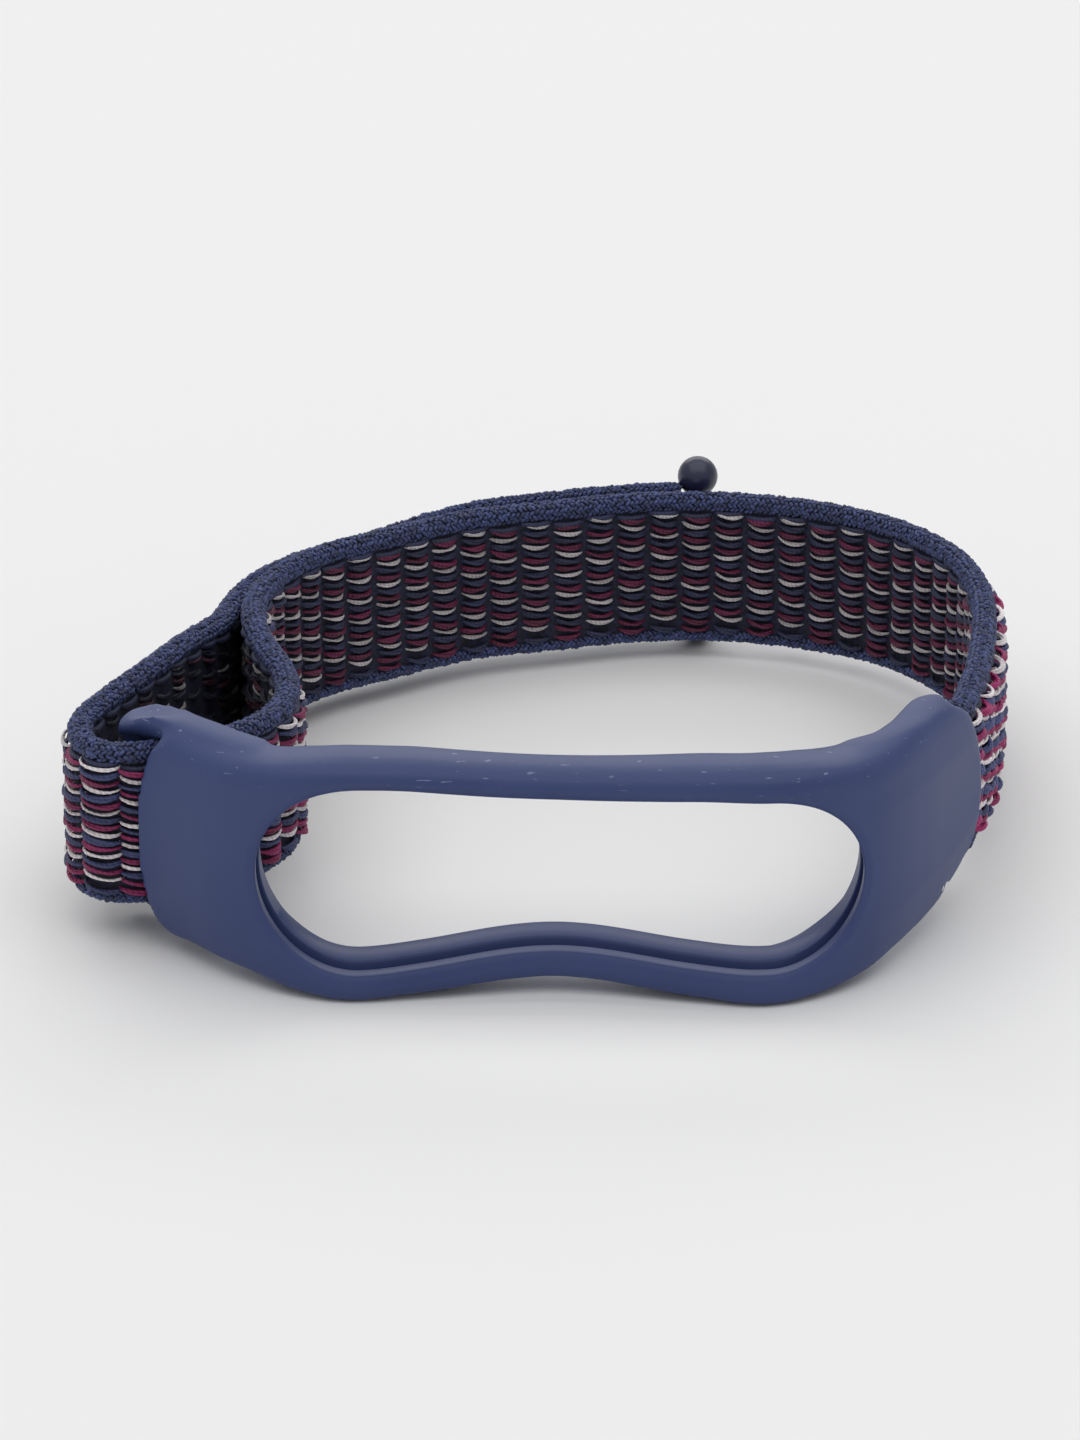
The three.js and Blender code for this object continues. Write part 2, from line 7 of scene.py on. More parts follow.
import bpy
import numpy as np
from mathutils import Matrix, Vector


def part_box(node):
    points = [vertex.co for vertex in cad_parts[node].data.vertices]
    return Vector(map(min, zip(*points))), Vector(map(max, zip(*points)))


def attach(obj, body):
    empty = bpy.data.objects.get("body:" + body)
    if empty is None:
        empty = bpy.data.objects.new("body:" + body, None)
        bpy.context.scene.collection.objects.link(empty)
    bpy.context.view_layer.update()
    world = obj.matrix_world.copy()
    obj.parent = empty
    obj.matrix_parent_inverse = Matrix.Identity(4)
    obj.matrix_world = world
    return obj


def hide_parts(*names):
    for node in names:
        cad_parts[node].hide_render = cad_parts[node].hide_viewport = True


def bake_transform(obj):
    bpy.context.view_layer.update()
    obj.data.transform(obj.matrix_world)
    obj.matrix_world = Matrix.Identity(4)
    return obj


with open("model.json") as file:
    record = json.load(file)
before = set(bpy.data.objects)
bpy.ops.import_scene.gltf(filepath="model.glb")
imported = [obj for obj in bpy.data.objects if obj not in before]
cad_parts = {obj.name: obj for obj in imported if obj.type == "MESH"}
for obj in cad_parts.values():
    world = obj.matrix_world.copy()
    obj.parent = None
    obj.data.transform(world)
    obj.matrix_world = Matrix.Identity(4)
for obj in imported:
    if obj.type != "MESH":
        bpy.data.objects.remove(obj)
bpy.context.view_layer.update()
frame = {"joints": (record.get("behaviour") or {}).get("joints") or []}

MM = 0.001
chance = np.random.default_rng(11)

# ---------------------------------------------------------------- driving sizes

STRAP_WIDTH = 13.6
STRAP_THICK = 1.9
PRESSED_THICK = 1.3  # where the sewn fold lies pressed round its bar
STRAP_LOW = 3.3  # height of the lower edge at the slot
DROOP = 0.0333  # fall for each millimetre back from the slot
LAY_GAP = 0.3  # between the tail and the strap under it
TAIL_COUNT = 4
TAIL_PEEL_START = 17.0
TAIL_SAG = 1.1
TAIL_END_GAP = 0.15  # from the end of the tail's line to the end of its cloth
STANDING_FLAT = 0.12

COLUMN_PITCH = 2.84  # of the woven columns along the strap
ROW_PITCH = 1.88  # from one white float to the next down a column
CORE_HALF = 0.62  # half the thickness of the ground cloth under the floats
SELVAGE_MIDDLE = 0.85  # from the strap's upper edge to the middle of its selvage
LOWER_MIDDLE = 0.66  # the same at the lower edge, which is thinner
WEB_INSET = 0.9  # from either edge of the strap to the ground cloth

FIXED_BAR = np.array([28.5, 14.9])
SLOT_BAR = np.array([-32.6, 15.0])
FIXED_BAR_RADIUS = 0.85
SLOT_BAR_RADIUS = 1.2
BAR_ROOT = 0.7  # how far the round end of a bar reaches into its bridges
SLOT_GAP = 4.0  # opening that the strap slides through
STRAP_ROOM = 0.5  # over and under the strap where it passes through the frame
BRIDGE_THICK = 1.3
LOWER_BRIDGE = 0.9
WRAP_GAP = 0.2
HALF_THICK = STRAP_THICK / 2

# ---------------------------------------------------------------- the strap's line


def smooth_line(points, steps=50):
    """Closely spaced points on the centripetal curve through the given ones."""
    p = np.array(points, float)
    p = np.vstack([2 * p[0] - p[1], p, 2 * p[-1] - p[-2]])
    t = np.linspace(0, 1, steps, endpoint=False)[:, None]
    pieces = []
    for a, b, c, d in zip(p, p[1:], p[2:], p[3:]):
        ab, bc, cd = (math.sqrt(np.linalg.norm(v)) for v in (b - a, c - b, d - c))
        start = bc * ((b - a) / ab - (c - a) / (ab + bc) + (c - b) / bc)
        end = bc * ((c - b) / bc - (d - b) / (bc + cd) + (d - c) / cd)
        square = 3 * (c - b) - 2 * start - end
        cube = 2 * (b - c) + start + end
        pieces.append(b + t * (start + t * (square + t * cube)))
    return np.vstack(pieces + [p[-2:-1]])


class Line:
    """A smooth line in plan, read by the length along it."""

    def __init__(self, points):
        self.points = smooth_line(points)
        steps = np.linalg.norm(np.diff(self.points, axis=0), axis=1)
        self.marks = np.concatenate([[0], np.cumsum(steps)])
        self.length = self.marks[-1]

    def at(self, s):
        x = np.interp(s, self.marks, self.points[:, 0])
        y = np.interp(s, self.marks, self.points[:, 1])
        return np.stack([x, y], -1)

    def out(self, s):
        """Unit vector to the right of the way along the line."""
        way = self.at(np.asarray(s) + 0.1) - self.at(np.asarray(s) - 0.1)
        way = way / np.linalg.norm(way, axis=-1, keepdims=True)
        return np.stack([way[..., 1], -way[..., 0]], -1)

    def nearest(self, place, low, high):
        s = np.arange(low, high, 0.25)
        return s[np.argmin(np.linalg.norm(self.at(s) - place, axis=1))]


def smoothstep(x, low, high):
    t = np.clip((np.asarray(x) - low) / (high - low), 0, 1)
    return t * t * (3 - 2 * t)


# From the sewn end round the fixed bar.
wrap = FIXED_BAR_RADIUS + WRAP_GAP + PRESSED_THICK / 2
fixed_turn = [FIXED_BAR + v for v in ([1.35, 5.3], [0.55, 3.7], [-0.75, 2])]
for degrees in range(180, 361, 30):
    turn = math.radians(degrees)
    fixed_turn.append(FIXED_BAR + wrap * np.array([math.cos(turn), math.sin(turn)]))

# Up the right side, across the back and down the S bend, as shares of the loop's width and depth.
LOOP_START = np.array([SLOT_BAR[0] + 8, SLOT_BAR[1]])
LOOP_SIZE = np.array([60.0, 55.0])
LOOP_SHARES = [
    [0.911, 0.06],
    [0.939, 0.094],
    [0.963, 0.196],
    [0.982, 0.327],
    [0.993, 0.464],
    [0.99, 0.582],
    [0.968, 0.69],
    [0.931, 0.768],
    [0.876, 0.839],
    [0.8, 0.893],
    [0.716, 0.929],
    [0.615, 0.947],
    [0.515, 0.939],
    [0.41, 0.906],
    [0.3, 0.871],
    [0.225, 0.824],
    [0.168, 0.78],
    [0.1, 0.73],
    [0.052, 0.672],
    [0.02, 0.61],
    [0, 0.53],
    [-0.001, 0.445],
    [0.018, 0.34],
    [0.043, 0.25],
    [0.054, 0.175],
    [0.048, 0.105],
    [0.028, 0.055],
    [-0.002, 0.01],
]
loop_points = [LOOP_START + LOOP_SIZE * share for share in LOOP_SHARES]

# Out through the slot and loosely round its bar.
SLOT_TURN = [
    [4.2, -2.3], [0.9, -3.5], [-1.1, -3.9], [-3, -3.4], [-4.2, -1.9], [-4.75, 0.6], [-4.6, 3.3],
]
slot_turn = [SLOT_BAR + v for v in SLOT_TURN]
run_points = fixed_turn + loop_points + slot_turn
run = Line(run_points)

# The tail crosses the pocket and lies along the strap's outer face, back along the main run.
POCKET = [[-7.08, 15.675], [-4.68, 21.505], [-2.82, 26.29], [-2.04, 30.36]]
pocket_points = [LOOP_START + v for v in POCKET]
S_BEND_FIRST = 19  # the point of the loop where the tail and the strap part
STOPPER_SHARE = [0.589, 0.946]
s_bend_top = run.nearest(loop_points[S_BEND_FIRST], 0, run.length)
stopper_place = run.nearest(LOOP_START + LOOP_SIZE * STOPPER_SHARE, 0, run.length)
lay = np.linspace(s_bend_top, stopper_place, 13)
lay_points = list(run.at(lay) + run.out(lay) * (STRAP_THICK + LAY_GAP))
line = Line(run_points + pocket_points + lay_points)

turn_end = line.nearest(run_points[-1], run.length - 20, run.length + 20)
tail_start = turn_end + TAIL_PEEL_START
tail_step = (line.length - tail_start) / TAIL_COUNT
pressed_end = run.nearest(loop_points[0], 0, 40)
fold_start = run.nearest(slot_turn[1], run.length - 20, run.length)  # where it leaves the slot
tail_end = line.length - TAIL_END_GAP

# The first hinge of the tail ties this line to the part's own frame.
hinge = np.array(frame["joints"][0]["pos_m"][:2]) / MM
row_shift = np.append(
    hinge - (line.at(tail_start) - line.out(tail_start) * HALF_THICK), -STANDING_FLAT
)


def thickness_share(s):
    swell = smoothstep(s, pressed_end - 3, pressed_end + 3)
    return PRESSED_THICK / STRAP_THICK * (1 - swell) + swell


def strap_point(s, offset, height):
    """Places on the strap: along it, outwards from its middle and up from its lower edge."""
    s, offset, height = np.broadcast_arrays(s, offset, height)
    at = line.at(s)
    sag = smoothstep(s, turn_end + 14, turn_end + 30)
    sag = TAIL_SAG * (sag - smoothstep(s, line.length - 34, line.length - 12))
    place = at + line.out(s) * (offset * thickness_share(s))[..., None]
    base = STRAP_LOW - DROOP * (at[..., 1] - SLOT_BAR[1]) - sag
    return np.concatenate([place, (base + height)[..., None]], -1)


# ---------------------------------------------------------------- meshes


def mesh_of(name, points, faces, material, smooth=True):
    """An object made of points in the design's millimetres."""
    mesh = bpy.data.meshes.new(name)
    mesh.from_pydata(((np.asarray(points) + row_shift) * MM).tolist(), [], faces)
    mesh.materials.append(material)
    piece = bpy.data.objects.new(name, mesh)
    bpy.context.scene.collection.objects.link(piece)
    if smooth:
        mesh.shade_smooth()
    return piece


def pick(*pieces):
    """Selects only these pieces, the last one active."""
    bpy.ops.object.select_all(action="DESELECT")
    for piece in pieces:
        piece.select_set(True)
    bpy.context.view_layer.objects.active = pieces[-1]


def finish_with(piece, kind, **settings):
    """Adds a modifier to a piece and applies it."""
    modifier = piece.modifiers.new(kind.title(), kind)
    for key, value in settings.items():
        setattr(modifier, key, value)
    pick(piece)
    bpy.ops.object.modifier_apply(modifier=modifier.name)


def face_outwards(piece):
    pick(piece)
    bpy.ops.object.mode_set(mode="EDIT")
    bpy.ops.mesh.select_all(action="SELECT")
    bpy.ops.mesh.normals_make_consistent(inside=False)
    bpy.ops.object.mode_set(mode="OBJECT")


def cut(piece, tool):
    face_outwards(tool)
    finish_with(piece, "BOOLEAN", operation="DIFFERENCE", object=tool, solver="EXACT")
    bpy.data.objects.remove(tool)


def loft_faces(rings, count):
    """Faces that join closed rings side to side, with a flat face over each end."""
    faces = []
    for i in range(rings - 1):
        for j in range(count):
            k = (j + 1) % count
            faces.append([i * count + j, i * count + k, (i + 1) * count + k, (i + 1) * count + j])
    faces.append(list(range(count))[::-1])
    faces.append([(rings - 1) * count + j for j in range(count)])
    return faces


def ribbon(name, low, high, inner, outer, bottom, top, material, step=0.7):
    """A solid layer of the strap."""
    s = np.linspace(low, high, max(3, round((high - low) / step)))[:, None]
    offset = np.array([inner, inner, outer, outer])
    height = np.array([bottom, top, top, bottom])
    points = strap_point(s, offset, height).reshape(-1, 3)
    return mesh_of(name, points, loft_faces(len(s), 4), material, smooth=False)


def yarns(name, material, middles, radii, shade, sides=6):
    """Short yarns as one mesh. middles holds, for each yarn, points on its middle line in strap
    coordinates (along, outwards, up), and radii their thickness at those points."""
    middles = np.asarray(middles)
    count, rings = middles.shape[:2]
    way = np.gradient(middles, axis=1)
    way /= np.linalg.norm(way, axis=2, keepdims=True)
    side = np.cross(way, [0, 1, 0])
    side /= np.linalg.norm(side, axis=2, keepdims=True)
    top = np.cross(side, way)
    angle = np.arange(sides) * 2 * math.pi / sides
    ring = top[:, :, None] * np.cos(angle)[:, None] + side[:, :, None] * np.sin(angle)[:, None]
    points = middles[:, :, None] + ring * np.asarray(radii)[..., None, None]
    points = strap_point(points[..., 0], points[..., 1], points[..., 2]).reshape(-1, 3)
    pattern = loft_faces(rings, sides)
    one = rings * sides
    faces = [[k + i * one for k in face] for i in range(count) for face in pattern]
    piece = mesh_of(name, points, faces, material)
    # The shade attribute holds each yarn's random tone together with painted light and shade.
    painted_light_and_tone = piece.data.attributes.new("shade", "FLOAT", "POINT")
    painted_light_and_tone.data.foreach_set("value", np.repeat(shade, one).astype(np.float32))
    along = np.concatenate([np.zeros((count, 1)), np.cumsum(np.linalg.norm(
        np.diff(middles, axis=1), axis=2), axis=1)], axis=1)
    uv = np.zeros((count, sum(len(face) for face in pattern), 2), np.float32)
    corner = 0
    for face in pattern:
        for k, index in enumerate(face):
            turn = index % sides
            if len(face) == 4 and turn == 0 and k in (1, 2):
                turn = sides
            uv[:, corner, 0] = along[:, index // sides]
            uv[:, corner, 1] = turn / sides
            corner += 1
    piece.data.uv_layers.new(name="twist").data.foreach_set("uv", uv.ravel())
    return piece


# ---------------------------------------------------------------- materials


def linear(code):
    """sRGB hex to linear RGBA."""
    parts = [int(code[i : i + 2], 16) / 255 for i in (1, 3, 5)]
    return [p / 12.92 if p <= 0.04045 else ((p + 0.055) / 1.055) ** 2.4 for p in parts] + [1.0]


def add_node(tree, kind, links=(), **settings):
    """Adds a node, sets its values and links (input name, source socket)."""
    node = tree.nodes.new(kind)
    for key, value in settings.items():
        if hasattr(node, key):
            setattr(node, key, value)
        else:
            node.inputs[key.replace("_", " ")].default_value = value
    for name, source in links:
        tree.links.new(source, node.inputs[name])
    return node


def noise(tree, scale, detail, vector=None):
    """Noise over the object's own coordinates, or over a stretched copy of them."""
    if vector is None:
        vector = add_node(tree, "ShaderNodeTexCoord").outputs["Object"]
    return add_node(tree, "ShaderNodeTexNoise", [("Vector", vector)], Scale=scale, Detail=detail)


def ramp_between(tree, value, dark, light, low=0.0, high=1.0):
    ramp = add_node(tree, "ShaderNodeValToRGB", [("Fac", value)])
    for element, place, code in zip(ramp.color_ramp.elements, (low, high), (dark, light)):
        element.position = place
        element.color = linear(code)
    return ramp.outputs["Color"]


def bump_on(tree, shader, height, strength, distance):
    links = [("Height", height)]
    bump = add_node(tree, "ShaderNodeBump", links, Strength=strength, Distance=distance)
    tree.links.new(bump.outputs["Normal"], shader.inputs["Normal"])


def new_material(name, **settings):
    """A material with its main shader; settings are the shader's own sockets."""
    material = bpy.data.materials.new(name)
    material.use_nodes = True
    tree = material.node_tree
    shader = tree.nodes["Principled BSDF"]
    for key, value in settings.items():
        shader.inputs[key.replace("_", " ")].default_value = value
    return material, tree, shader


def yarn_material(name, code, rough, painted_groove_depth, sheen=0.0, speck=0.12):
    """Plied multifilament yarn: twisted grooves across it, darkened with painted shade, and each
    float lighter or darker by its shade attribute, which holds random tone with painted light and
    shade.
    A ply turns once in 0.34 mm."""
    material, tree, shader = new_material(name, Roughness=rough, Sheen_Weight=sheen)
    shade = add_node(tree, "ShaderNodeAttribute", attribute_name="shade")
    uv = add_node(tree, "ShaderNodeUVMap", uv_map="twist")
    place = add_node(
        tree, "ShaderNodeMapping", [("Vector", uv.outputs["UV"])], Scale=(1 / 0.34, 2, 1))
    twist = add_node(
        tree, "ShaderNodeTexWave", [("Vector", place.outputs["Vector"])],
        wave_type="BANDS", bands_direction="DIAGONAL", Scale=0.628, Distortion=0.8, Detail=1.0,
    )
    fuzz = noise(tree, 4200.0, 2.0)
    # Painted shade: the twist grooves between the plies darken the colour down to the given share.
    painted_groove_shade = add_node(
        tree, "ShaderNodeMapRange", [("Value", twist.outputs["Fac"])], To_Min=painted_groove_depth, To_Max=1.0)
    light = add_node(
        tree, "ShaderNodeMapRange", [("Value", fuzz.outputs["Fac"])],
        From_Min=0.3, From_Max=0.7, To_Min=1 - speck, To_Max=1 + speck,
    )
    painted_light_and_tone = shade.outputs["Fac"]
    for share in (painted_groove_shade, light):
        links = [(0, painted_light_and_tone), (1, share.outputs["Result"])]
        painted_light_and_tone = add_node(tree, "ShaderNodeMath", links, operation="MULTIPLY").outputs[0]
    colour = add_node(tree, "ShaderNodeVectorMath", [("Scale", painted_light_and_tone)], operation="SCALE")
    colour.inputs[0].default_value = linear(code)[:3]
    tree.links.new(colour.outputs[0], shader.inputs["Base Color"])
    bump_on(tree, shader, twist.outputs["Fac"], 0.5, 0.00006)
    return material


# Bright bulked polyester: shiny filaments that catch the light along each float.
white_yarn = yarn_material("white_polyester_yarn", "#E9E1E4", 0.42, 0.78, sheen=0.1, speck=0.08)
# Solution-dyed polyester in magenta: deep colour, soft highlights.
magenta_yarn = yarn_material("magenta_polyester_yarn", "#8E1558", 0.55, 0.7, sheen=0.03)
# The same yarn in a greyed navy: the quietest of the three.
navy_yarn = yarn_material("navy_polyester_yarn", "#3A4270", 0.6, 0.7, sheen=0.03)
# Textured nylon of the edges, knitted tight: matt grains with light tips and dark gaps.
edge_yarn = yarn_material("navy_textured_nylon", "#3A4674", 0.65, 0.75, sheen=0.08, speck=0.22)
# Sewing thread at the fixed end.
sewing_thread = yarn_material("navy_sewing_thread", "#2C3560", 0.45, 0.7)


def ground_cloth():
    """Tightly woven dark ground under the floats: nearly black, with fine cross threads."""
    material, tree, shader = new_material("dark_ground_cloth", Roughness=0.85)
    grain = noise(tree, 2600.0, 3.0)
    colour = ramp_between(tree, grain.outputs["Fac"], "#0E0F1C", "#232744", 0.35, 0.75)
    tree.links.new(colour, shader.inputs["Base Color"])
    bump_on(tree, shader, grain.outputs["Fac"], 0.6, 0.0001)
    return material


def moulded_tpu():
    """Injection moulded TPU with a fine matt texture: soft broad highlights and faint marbling."""
    material, tree, shader = new_material("navy_moulded_tpu", Specular_IOR_Level=0.3)
    space = add_node(tree, "ShaderNodeTexCoord")
    cloud = noise(tree, 60.0, 3.0)
    marbling = ramp_between(tree, cloud.outputs["Fac"], "#35426E", "#3B4875", 0.3, 0.7)
    # Short pale scuffs on the upper edges, longer along the frame than up it.
    links = [("Vector", space.outputs["Object"])]
    stretch = add_node(tree, "ShaderNodeMapping", links, Scale=(700, 1500, 5000))
    scratch = noise(tree, 1.0, 1.0, stretch.outputs["Vector"])
    sharp = add_node(
        tree, "ShaderNodeMapRange", [("Value", scratch.outputs["Fac"])], From_Min=0.71, From_Max=0.78)
    height = add_node(tree, "ShaderNodeSeparateXYZ", [("Vector", space.outputs["Object"])])
    upper = add_node(
        tree, "ShaderNodeMapRange", [("Value", height.outputs["Z"])],
        From_Min=0.0165, From_Max=0.0185, To_Max=0.5,
    )
    worn = add_node(
        tree, "ShaderNodeMath", [(0, sharp.outputs["Result"]), (1, upper.outputs["Result"])],
        operation="MULTIPLY",
    )
    # Sockets 6 and 7 are the two colours of the mix, and output 2 is the mixed one.
    mix = add_node(
        tree, "ShaderNodeMix", [("Factor", worn.outputs[0]), (6, marbling)], data_type="RGBA")
    mix.inputs[7].default_value = linear("#98A0BC")
    tree.links.new(mix.outputs[2], shader.inputs["Base Color"])
    rough = add_node(
        tree, "ShaderNodeMapRange", [("Value", cloud.outputs["Fac"])],
        From_Min=0.3, From_Max=0.7, To_Min=0.4, To_Max=0.48,
    )
    tree.links.new(rough.outputs["Result"], shader.inputs["Roughness"])
    # Spark texture of the mould, 0.12 mm grains.
    spark = noise(tree, 8000.0, 1.0)
    bump_on(tree, shader, spark.outputs["Fac"], 0.12, 0.00002)
    return material


def hook_nylon():
    """Moulded nylon hook tape: dark, slightly glossy tips."""
    material, tree, shader = new_material("dark_hook_nylon", Roughness=0.4)
    grain = noise(tree, 1800.0, 2.0)
    colour = ramp_between(tree, grain.outputs["Fac"], "#14162A", "#2A2E4C")
    tree.links.new(colour, shader.inputs["Base Color"])
    return material


def stopper_plastic():
    """Moulded acetal of the stopper: smooth, with a clear soft highlight."""
    material, tree, shader = new_material("navy_moulded_acetal", Roughness=0.3)
    grain = noise(tree, 900.0, 2.0)
    colour = ramp_between(tree, grain.outputs["Fac"], "#20223A", "#2C2F4C")
    tree.links.new(colour, shader.inputs["Base Color"])
    bump_on(tree, shader, grain.outputs["Fac"], 0.1, 0.00003)
    return material


ground = ground_cloth()
tpu = moulded_tpu()
hook_tape = hook_nylon()
acetal = stopper_plastic()

# ---------------------------------------------------------------- tracker frame

EAR_HEIGHT = STRAP_WIDTH + 2 * (STRAP_ROOM + BRIDGE_THICK)
ear_low = STRAP_LOW - STRAP_ROOM
ear_high = STRAP_LOW + STRAP_WIDTH + STRAP_ROOM
EAR_LEFT = STRAP_LOW + STRAP_WIDTH / 2 + 0.05  # height of the left ear's middle
EAR_RIGHT = EAR_LEFT + 0.45
LEFT_RISE = 0.65  # of the left ear's bridge above the shell beside it
SHELL_STEPS = 8  # rings from one station to the next
SHELL_GRAIN = 0.28  # size of the cells in which the frame's parts are merged
FOOT_ROUNDING = 0.45  # of the lower front edge, against the upper one
# Place of the front face, height of the section and of its middle, depth, and lean of its faces.
STATIONS = np.array(
    [
        [-32.9, 9.9, EAR_HEIGHT * 0.1, EAR_LEFT, 1.25, 0],
        [-32.75, 9.5, EAR_HEIGHT * 0.5, EAR_LEFT, 1.5, 0.3],
        [-32.2, 8.9, EAR_HEIGHT * 0.86, EAR_LEFT, 1.9, 0.8],
        [-31.2, 7.9, EAR_HEIGHT, EAR_LEFT, 2.4, 1.1],
        [-29.3, 5.9, EAR_HEIGHT + 0.1, EAR_LEFT, 3.3, 1.2],
        [-27, 3.8, EAR_HEIGHT + 0.5, EAR_LEFT, 4.8, 1],
        [-24, 1.9, EAR_HEIGHT + 1, EAR_LEFT, 5.9, 0.6],
        [-20.5, 0.3, 19.4, 10.15, 6.3, 0.2],
        [-16, -0.6, 20.3, 10.15, 6.3, 0],
        [-10, 0, 19.5, 10.15, 6.3, 0],
        [0, 1.1, 17.6, 10.075, 5.8, 0],
        [10, -0.5, 19.2, 10, 6.3, 0],
        [16, -1.3, 20, 10, 6.3, 0],
        [20.5, 0, 19.5, 10, 6.3, 0.2],
        [24.5, 2.6, EAR_HEIGHT + 1.2, 10, 5.9, 0.6],
        [27.2, 5.5, EAR_HEIGHT + 0.6, 10.3, 4.6, 1],
        [29.4, 9, EAR_HEIGHT + 0.3, 10.5, 2.2, 1.2],
        [31, 12.2, EAR_HEIGHT - 0.4, EAR_RIGHT, 1.5, 1.1],
        [32.3, 14.9, EAR_HEIGHT * 0.91, 10.8, 1.25, 1],
        [33.2, 16.9, EAR_HEIGHT * 0.76, 10.8, 1.25, 0.7],
        [33.65, 18, EAR_HEIGHT * 0.5, 10.4, 1.1, 0.3],
        [33.8, 18.5, EAR_HEIGHT * 0.12, 10, 0.9, 0],
    ]
)
# Half of the section: height as a share or in millimetres below the crest, and place from the
# outer to the inner face.
SECTION = [
    (0.5, None, 0),
    (0.78, None, 0),
    (None, 1.25, 0.015),
    (None, 0.72, 0.06),
    (None, 0.28, 0.17),
    (None, 0.05, 0.33),
    (None, 0, 0.52),
    (None, 0.15, 0.72),
    (None, 0.55, 0.88),
    (None, 1.15, 0.97),
    (0.8, None, 1),
    (0.4, None, 1),
]


def station_at(position):
    """Cubic interpolation between the stations."""
    last = len(STATIONS) - 1
    i = min(int(position), last - 1)
    t = position - i
    a, b, c, d = (STATIONS[min(max(i + k, 0), last)] for k in (-1, 0, 1, 2))
    rise, fall = (c - a) / 2, (d - b) / 2
    bend = 2 * (b - c) + rise + fall
    return b + t * (rise + t * (c - b - rise - bend + t * bend))


def frame_section(position):
    x, y, height, middle, depth, lean = station_at(position)
    ahead = station_at(min(position + 0.02, len(STATIONS) - 1))[:2]
    behind = station_at(max(position - 0.02, 0))[:2]
    way = (ahead - behind) / np.linalg.norm(ahead - behind)
    inwards = np.array([-way[1], way[0]])
    half = height / 2

    def point(share, below, across, side):
        shrink = min(1, half / 4) * (FOOT_ROUNDING if side < 0 and across < 0.5 else 1)
        up = half * share if below is None else half - below * shrink
        back = lean * (up / half) ** 2 + across * depth
        return [*(np.array([x, y]) + inwards * back), middle + side * up]

    upper = [point(*p, 1) for p in SECTION]
    lower = [point(*p, -1) for p in SECTION][::-1]
    return np.array(upper + lower)


def loft(name, rings):
    rings = np.array(rings)
    return mesh_of(name, rings.reshape(-1, 3), loft_faces(*rings.shape[:2]), tpu)


def frame_shell():
    count = (len(STATIONS) - 1) * SHELL_STEPS + 1
    return loft("tracker_frame_shell", [frame_section(i / SHELL_STEPS) for i in range(count)])


front_marks = np.linspace(0, len(STATIONS) - 1, 2000)
front_table = np.array([station_at(mark) for mark in front_marks])


def front_at(x):
    """Front face and middle height of the frame at a place along X."""
    y = np.interp(x, front_table[:, 0], front_table[:, 1])
    return y, np.interp(x, front_table[:, 0], front_table[:, 3])


OPENING_LENGTH = 47
OPENING_ENDS = (15.8 / 2, 14.6 / 2)
OPENING_WAIST = 12.9 / 2
OPENING_SHIFT = 0.3  # of the opening's middle from the frame's


def opening_ring(margin, back, flat=False):
    """Outline of the opening, grown by a margin and set back from the front face."""
    left, right = OPENING_ENDS
    first = OPENING_SHIFT - OPENING_LENGTH / 2 + left
    last = OPENING_SHIFT + OPENING_LENGTH / 2 - right
    arc = np.linspace(0, math.pi, 49)
    share = np.linspace(0, 1, 82)[1:-1]
    dip = (1 - np.cos(2 * math.pi * share)) / 2
    height = (left + (right - left) * share) * (1 - dip) + OPENING_WAIST * dip + margin
    run_x = first + (last - first) * share
    x = np.concatenate([
        first + (left + margin) * np.cos(math.pi / 2 + arc), run_x,
        last + (right + margin) * np.cos(arc - math.pi / 2), run_x[::-1],
    ])
    z = np.concatenate([
        (left + margin) * np.sin(math.pi / 2 + arc), -height,
        (right + margin) * np.sin(arc - math.pi / 2), height[::-1],
    ])
    front, middle = front_at(x)
    return np.stack([x, np.full_like(x, back) if flat else front + back, middle + z], -1)


# How far out and how far back each edge of the cut is: the sloped lip, the groove that holds the
# tracker's rim, and the wall behind it.
LIP = [
    (3.06, -0.8),
    (1.1, 0),
    (0.5, 0.27),
    (0.16, 0.45),
    (0.03, 0.62),
    (0, 0.85),
    (0, 1.75),
    (0.06, 1.88),
    (0.25, 1.95),
    (0.8, 2.05),
    (0.8, 2.75),
    (0.6, 2.85),
    (0.05, 2.95),
    (-0.12, 3.02),
    (-0.2, 3.15),
    (-0.2, 5.5),
    (-0.1, 5.75),
    (0.3, 6.4),
]


def opening_cutter():
    rings = [opening_ring(LIP[0][0], -8, flat=True)]
    rings += [opening_ring(margin, back) for margin, back in LIP]
    rings.append(opening_ring(LIP[-1][0], 18, flat=True))
    return loft("opening_cutter", rings)


def plate(name, shape, bar, low, high, soft):
    """A flat shape in plan, raised between two heights, its edges rounded. A third number is how
    far the upper face dips at that corner, and a fourth the same for the lower face."""
    outline = [np.append(bar + v[:2], low) for v in shape]
    piece = mesh_of(name, outline, [list(range(len(outline)))], tpu, smooth=False)
    pick(piece)
    bpy.ops.object.mode_set(mode="EDIT")
    bpy.ops.mesh.select_all(action="SELECT")
    bpy.ops.mesh.extrude_region_move(TRANSFORM_OT_translate={"value": (0, 0, (high - low) * MM)})
    bpy.ops.object.mode_set(mode="OBJECT")
    for i, v in enumerate(shape):
        piece.data.vertices[len(shape) + i].co.z -= sum(v[2:3]) * MM
        piece.data.vertices[i].co.z -= sum(v[3:]) * MM
    face_outwards(piece)
    if soft:
        finish_with(piece, "BEVEL", width=soft * MM, segments=4, limit_method="ANGLE")
    return piece


def upright_bar(name, bar, radius):
    place = (np.append(bar, (ear_low + ear_high) / 2) + row_shift) * MM
    bpy.ops.object.select_all(action="DESELECT")
    bpy.ops.mesh.primitive_cylinder_add(
        vertices=32, radius=radius * MM, depth=(ear_high - ear_low + 2 * BAR_ROOT) * MM,
        location=place,
    )
    piece = bpy.context.active_object
    piece.name = name
    bpy.ops.object.transform_apply(location=True, rotation=False, scale=False)
    finish_with(piece, "BEVEL", width=0.4 * radius * MM, segments=3, limit_method="ANGLE")
    return piece


